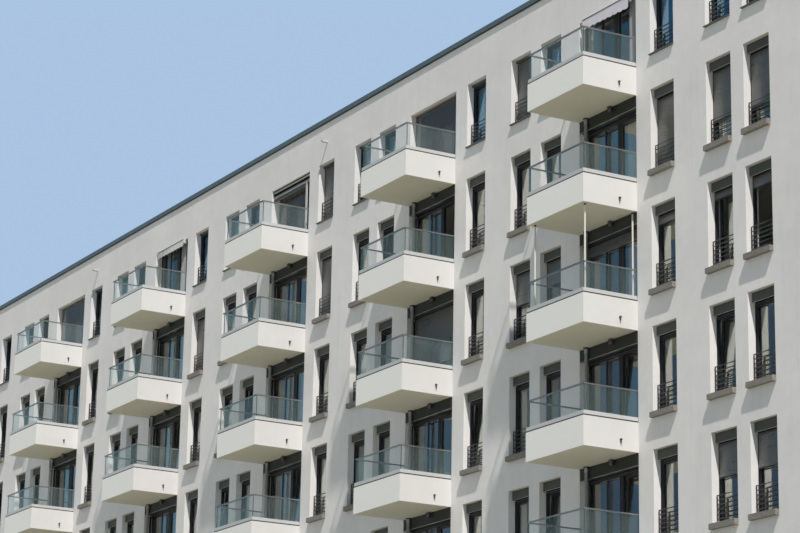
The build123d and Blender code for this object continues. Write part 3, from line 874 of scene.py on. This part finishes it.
def tray_details(left, storey):
    """What hangs from a balcony's tray, and what lies on it."""
    level_z, soffit, end = base(storey), base(storey) - FASCIA, left + WIDE
    pipe_foot = 0 if storey == 1 else base(storey - 1) - TRAY_FLOOR
    x, y = left + PIPE_X, FRONT - PIPE_OUT
    pipes.turned((x, y, pipe_foot), UP, [(0, PIPE_RADIUS), (soffit - pipe_foot, PIPE_RADIUS)], 16)
    pipes.turned((x, y, soffit - 0.0145), DOWN, SLEEVE, 16)
    collars.turned((x, y, soffit), DOWN, FLANGE, 16)
    collars.turned((x, y, pipe_foot), UP, PIPE_SHOE, 16)
    lamps.turned((left + LAMP_X, FRONT - LAMP_OUT, soffit), DOWN, SOFFIT_LAMP, 20)
    x, y, z = end, FRONT - SPOUT_OUT, level_z - SPOUT_DOWN
    spouts.turned((x, y, z), OUT, SPOUT_STUB)
    spouts.turned((x + 0.013, y, z + 0.004), DOWN, SPOUT_END, 10)
    # Dark strip under the channel that paints the shadow gap at its foot, and dark seals in the
    # corners of the glass
    near, far = left + STRIP_INSET, end - STRIP_INSET
    strip_y, strip_top = TRAY + STRIP_INSET, level_z + STRIP_HEIGHT
    shade_strips.box(near, far, strip_y, strip_y + STRIP, level_z, strip_top)
    for edge in (near, far - STRIP):
        shade_strips.box(edge, edge + STRIP, strip_y + STRIP, FRONT - 0.001, level_z, strip_top)
    for edge in (left + SEAL[0], end - SEAL[1]):
        corners.box(edge, edge + 0.008, TRAY + SEAL[0], TRAY + SEAL[1],
                    level_z + SEAL_HEIGHTS[0], level_z + SEAL_HEIGHTS[1])
    board_left, board_right = left + FASCIA_WALL + 0.003, end - FASCIA_WALL - 0.003
    floor_z, y = level_z - TRAY_FLOOR, TRAY + FASCIA_WALL + BOARD_GAP
    while y + BOARD < FRONT - BOARD_GAP:
        decks.box(board_left, board_right, y, y + BOARD, floor_z, floor_z + BOARD_HEIGHT)
        y += BOARD + BOARD_GAP


for storey in range(1, STOREYS):
    for left in BALCONIES:
        tray_details(left, storey)

pipes.piece("downpipe_tubes", "pipe_metal", "pipe_metal", ["downpipes"], smooth=True)
collars.piece("downpipe_collars", "gasket", smooth=True)
lamps.piece("soffit_lamps", "railing_black", smooth=True)
spouts.piece("tray_spouts", "railing_black", smooth=True)
# The dark strip paints the shadow gap under the channel.
shade_strips.piece("channel_shadow_strips", "gasket")
corners.piece("glass_corner_seals", "gasket")
decks.piece("balcony_decks", "deck_wood", "concrete")

# The three thin posts of one balcony
posts, caps, left = Shape(), Shape(), BALCONIES[0]
POST_STOREY, POST_INSET, POST_RADIUS = 6, 0.014, 0.0115
POST_CAP = [(0, 0.0135), (0.01, 0.0135), (0.02, 0.0118)]
post_foot, post_top = base(POST_STOREY) - TRAY_FLOOR, base(POST_STOREY + 1) - FASCIA
edge = FASCIA_WALL + POST_INSET
post_left, post_right = left + edge, left + WIDE - edge
POST_TUBE = [(0, POST_RADIUS), (post_top - post_foot - 0.015, POST_RADIUS)]
for x, y in ((post_left, TRAY + edge), (post_right, TRAY + edge), (post_right, FRONT - POST_INSET)):
    posts.turned((x, y, post_foot), UP, POST_TUBE)
    caps.turned((x, y, post_top), DOWN, POST_CAP)
posts.piece("balcony_post_tubes", "post_white", "post_metal", ["balcony_posts"], smooth=True)
caps.piece("balcony_post_caps", "gasket", smooth=True)

SCALLOP, SCALLOP_POINTS, VALANCE_WAVE = 0.018, 10, 0.001


def valance(name, look, span, y, top, drops, scallops, replaces=()):
    """A short hanging cloth with a scalloped edge. drops are its lengths at both ends."""
    (x0, x1), shape = span, Shape()

    def point(s, t):
        arch = abs(math.sin(math.pi * scallops * s)) ** 0.7
        drop = drops[0] + (drops[1] - drops[0]) * s - SCALLOP * (1 - arch)
        wave = VALANCE_WAVE * t * math.sin(math.tau * 5 * s)
        return (x0 + (x1 - x0) * s, y + wave, top - drop * t)

    shape.sheet(scallops * SCALLOP_POINTS, point)
    hung = shape.piece(name, look, "awning_fabric", replaces, smooth=True)


# Awnings of the top storey's balconies in bays 0 and 3: a valance in front of each cassette
valance_y = FRONT - CASSETTE_OUT - 0.002
covers = Shape()
for bay, look, drops, replaces in ((0, "valance_cloth", (0.135, 0.165), ["awning_valances"]),
                                   (3, "striped_cloth", (0.115, 0.115), ())):
    x0, x1 = BALCONIES[bay] + CASSETTE_INSET, BALCONIES[bay] + WIDE - CASSETTE_INSET
    valance(f"awning_valance_bay{bay}", look, (x0 + 0.004, x1 - 0.004), valance_y,
            head(TOP) - 0.002, drops, 9, replaces)
    covers.box(x0 + 0.001, x1 - 0.001, valance_y - 0.003, valance_y - 0.0015,
               head(TOP) - 0.01, head(TOP) + 0.001)
covers.piece("awning_covers", "gasket")

# Awning of bay 2, folded up inside its opening: bars under the head, a fringe and a side guide
bars, black_and_shade_bars, left, top = Shape(), Shape(), BALCONIES[2], head(TOP)
x0, x1 = left + CLEAR, left + WIDE - CLEAR
BARS_REAR, FRINGE_TOP, FRINGE_DROP = 0.124, 0.124, 0.055
# The matt black bars are partly black parts and partly painted shade of the dark gaps between the
# light bars.
# Each bar's depth, and its upper and lower edge below the head
AWNING_BARS = ((black_and_shade_bars, 0.03, 0.0005, 0.01), (bars, 0.04, 0.012, 0.044),
               (black_and_shade_bars, 0.03, 0.046, 0.078), (bars, 0.045, 0.08, 0.094),
               (black_and_shade_bars, 0.036, 0.096, 0.106), (bars, 0.03, 0.108, 0.124))
for shape, depth, upper, lower in AWNING_BARS:
    shape.bar(x0, x1, [(at(depth), top - lower), (at(BARS_REAR), top - lower),
                       (at(BARS_REAR), top - upper), (at(depth), top - upper)])
foot, guide_top = base(TOP) + 0.001, top - 0.1245
bars.box(left + WIDE - 0.175, left + WIDE - 0.135, at(0.03), at(0.044), foot, guide_top)
black_and_shade_bars.box(left + WIDE - 0.1345, left + WIDE - CLEAR, at(0.046), at(0.05), foot, guide_top)
bars.piece("awning_bars", "awning_metal", "awning_metal")
black_and_shade_bars.piece("awning_dark_bars", "matt_black")
valance("awning_valance_bay2", "blue_cloth", (left + 0.012, left + WIDE - 0.18), at(0.04),
        top - FRINGE_TOP, (FRINGE_DROP, FRINGE_DROP), 22)

# Grey drapes at the sides of two top openings, on a slim rail
drape_rails = Shape()
drapes = Curtains(head(TOP) - 0.013, base(TOP) - TRAY_FLOOR + BOARD_HEIGHT + 0.004)
for bay, spans in ((0, ((1.03, 1.15),)), (3, ((0.01, 0.12), (0.9, 1.08)))):
    left = BALCONIES[bay]
    drape_rails.box(left + 0.001, left + WIDE - 0.001, at(0.05), at(0.06),
                    head(TOP) - 0.012, head(TOP) - CLEAR)
    for x0, x1 in spans:
        span = (left + x0, left + x1)
        drapes.hang(span, span, at(0.055), 4, (x1 - x0) * 1.35, 4 * x0)
drape_rails.piece("drape_rails", "steel", "rail_aluminium")
drapes.piece("balcony_drapes", "drape_cloth", "drape_rails")

# Overflow spouts through the parapet, open at their ends, with a dark disc inside that paints the
# shade in their depth
OUTWARD, SPOUT_RADIUS, SPOUT_BORE = (0, -1, 0), 0.0185, 0.0155
spout_low, spout_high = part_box("parapet_spouts")
spout_z, spout_length = (spout_low.z + spout_high.z) / 2, FRONT - spout_low.y
SPOUT_TUBE = [(0, SPOUT_RADIUS), (spout_length, SPOUT_RADIUS), (spout_length, SPOUT_BORE),
              (0.004, SPOUT_BORE)]
SPOUT_SHADE_DISC = [(spout_length - 0.01, 0.0153), (spout_length - 0.007, 0.0153)]
tubes, mouth_shades = Shape(), Shape()
for bay in (0, 2, 4):
    start = (BALCONIES[bay] + TO_C + NARROW / 2, FRONT, spout_z)
    tubes.turned(start, OUTWARD, SPOUT_TUBE, 20)
    mouth_shades.turned(start, OUTWARD, SPOUT_SHADE_DISC, 20)
tubes.piece("spout_tubes", "steel", "pipe_metal", ["parapet_spouts"], smooth=True)
mouth_shades.piece("spout_shade_discs", "gasket", smooth=True)

# Joints of the coping, and its drip edge above the front
joints, drip = Shape(), Shape()
COPING_LENGTHS, JOINT, JOINT_OUT = 16, 0.006, 0.0015
for node in ("front_coping", "back_coping"):
    low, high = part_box(node)
    inner = (high.y, high.y + JOINT_OUT) if node == "front_coping" else (low.y - JOINT_OUT, low.y)
    for i in range(1, COPING_LENGTHS):
        x = low.x + (high.x - low.x) * i / COPING_LENGTHS
        joints.box(x - JOINT / 2, x + JOINT / 2, *inner, low.z + 0.001, high.z - 0.001)
joints.piece("coping_joints", "gasket")

low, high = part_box("front_coping")
drip_foot = low.z - 0.014
drip.bar(low.x + 0.002, high.x - 0.002, [
    (low.y + 0.002, low.z), (FRONT - CLEAR, low.z), (FRONT - CLEAR, drip_foot),
    (FRONT - 0.01, drip_foot), (low.y + 0.004, low.z - 0.004)])
drip.piece("coping_drip", "gasket")

# Laps of the roofing sheets, and their upstands behind the parapet
laps = Shape()
roof_low, roof_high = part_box("roof_slab")
SHEET, LAP, LAP_HALF, LAP_END = 1.0, 0.004, 0.045, 0.012
UPSTAND, UPSTAND_DEPTH, UPSTAND_END = 0.15, 0.01, 0.0105
x = roof_low.x + SHEET
while x < roof_high.x - 0.1:
    laps.box(x - LAP_HALF, x + LAP_HALF, roof_low.y + LAP_END, roof_high.y - LAP_END,
             roof_high.z, roof_high.z + LAP)
    x += SHEET
upstand_top = roof_high.z + UPSTAND
for y in (roof_low.y, roof_high.y - UPSTAND_DEPTH):
    laps.box(roof_low.x, roof_high.x, y, y + UPSTAND_DEPTH, roof_high.z, upstand_top)
for x in (roof_low.x, roof_high.x - UPSTAND_DEPTH):
    laps.box(x, x + UPSTAND_DEPTH, roof_low.y + UPSTAND_END, roof_high.y - UPSTAND_END,
             roof_high.z, upstand_top)
laps.piece("roof_laps", "roofing", "roofing")

# Floor, light and background. The seen tones differ from the tones that light the building.
REACH, FLOOR_Z = 1500, -0.002
FLOOR_LIGHT, FLOOR_SEEN = (0.24, 0.225, 0.165), (0.66, 0.67, 0.68)
SKY_LIGHT, BACKDROP = (0.33, 0.41, 0.5), (0.4, 0.55, 0.76)
LOW_SKY, HIGH_SKY, LEFT_SKY = (0.052, 0.1, 0.165), (0.068, 0.17, 0.27), (0.17, 0.33, 0.44)
corner_signs = ((-1, -1), (1, -1), (1, 1), (-1, 1))
mesh = bpy.data.meshes.new("floor")
mesh.from_pydata([(x * REACH, y * REACH, FLOOR_Z) for x, y in corner_signs], [], [(0, 1, 2, 3)])
floor = add_object("floor", mesh)


def seen_rays(n):
    """1 for the rays that show the floor or the backdrop, and 0 for the light that they give."""
    path = n.add("LightPath").outputs
    mirrored = n.math("MAXIMUM", path["Is Camera Ray"], path["Is Glossy Ray"])
    return n.math("MAXIMUM", mirrored, path["Is Transmission Ray"])


n = material("floor")
n.surface(Base_Color=n.mix(seen_rays(n), FLOOR_LIGHT, FLOOR_SEEN), Roughness=0.9,
          Specular_IOR_Level=0.2)
mesh.materials.append(looks["floor"])

world = bpy.data.worlds.new("world")
scene.world = world
world.use_nodes = True
n = Nodes(world.node_tree)
lighting = n.add("Background", {"Color": (*SKY_LIGHT, 1), "Strength": 1.0})
# The front's windows mirror a deeper sky before them, and the backdrop elsewhere
is_glossy = n.add("LightPath").outputs["Is Glossy Ray"]
direction = n.add("TexCoord").outputs["Generated"]
way = n.add("SeparateXYZ", {"Vector": direction}).outputs
ahead = n.math("MULTIPLY", n.span(way["Y"], -0.1, -0.25), is_glossy, clamp=True)
deep_sky = n.mix(n.span(way["Z"], 0.26, 0.34), LOW_SKY, HIGH_SKY)
deep_sky = n.mix(n.span(way["X"], -0.83, -0.93), deep_sky, LEFT_SKY)
seen = n.mix(ahead, BACKDROP, deep_sky)
backdrop = n.add("Background", {"Color": seen, "Strength": 1.0})
shaders = {0: seen_rays(n), 1: lighting.outputs[0], 2: backdrop.outputs[0]}
both = n.add("MixShader", shaders)
n.add("OutputWorld", {"Surface": both.outputs[0]})


def lamp(name, travel, strength, colour, softness):
    """Sunlight that travels along a vector. softness is its angle in degrees."""
    data = bpy.data.lights.new(name, "SUN")
    data.energy = strength
    data.color = colour
    data.angle = math.radians(softness)
    made = add_object(name, data)
    made.rotation_mode = "QUATERNION"
    made.rotation_quaternion = Vector(travel).to_track_quat("-Z", "Y")


lamp("key", (-0.5, 0.178, -0.847), strength=4.65, colour=(1.0, 0.945, 0.87), softness=1.0)
lamp("fill", (0.45, -0.62, -0.64), strength=1.5, colour=(0.95, 0.97, 1.0), softness=20)
